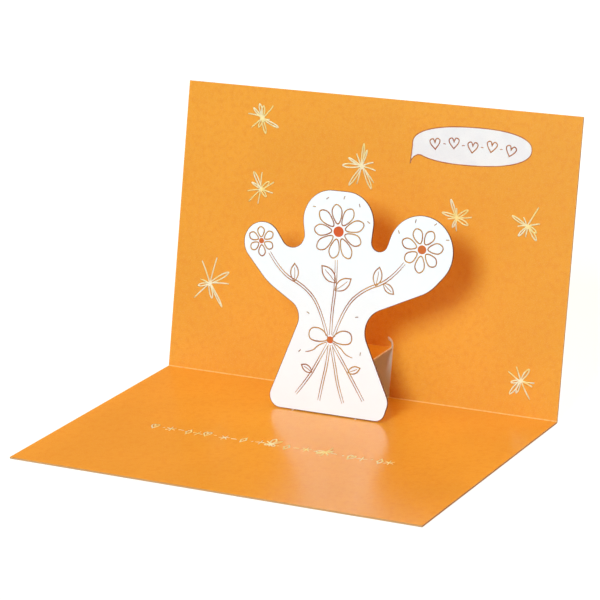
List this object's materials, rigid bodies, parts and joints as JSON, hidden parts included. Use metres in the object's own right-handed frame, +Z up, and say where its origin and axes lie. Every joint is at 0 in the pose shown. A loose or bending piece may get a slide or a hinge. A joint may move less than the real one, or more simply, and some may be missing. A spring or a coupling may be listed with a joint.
{
  "type": "pop-up greeting card",
  "caption": "Folded greeting card standing open, with a slit paper step across its fold that holds a die-cut figure upright in front of the back panel.",
  "frame": {"origin": "middle of the base panel's underside", "axes": "+X along the fold to the right, -Y to the base's front edge, +Z up"},
  "size_m": [0.148, 0.1236, 0.0979],
  "materials": {
    "cover": "uncoated white card",
    "inner_sheet": "satin coated card, printed orange on the face",
    "figure": "satin white card"
  },
  "bodies": {
    "root": {"cover": "cover", "inner_sheet": "inner_sheet", "figure": "figure"}
  },
  "joints": []
}
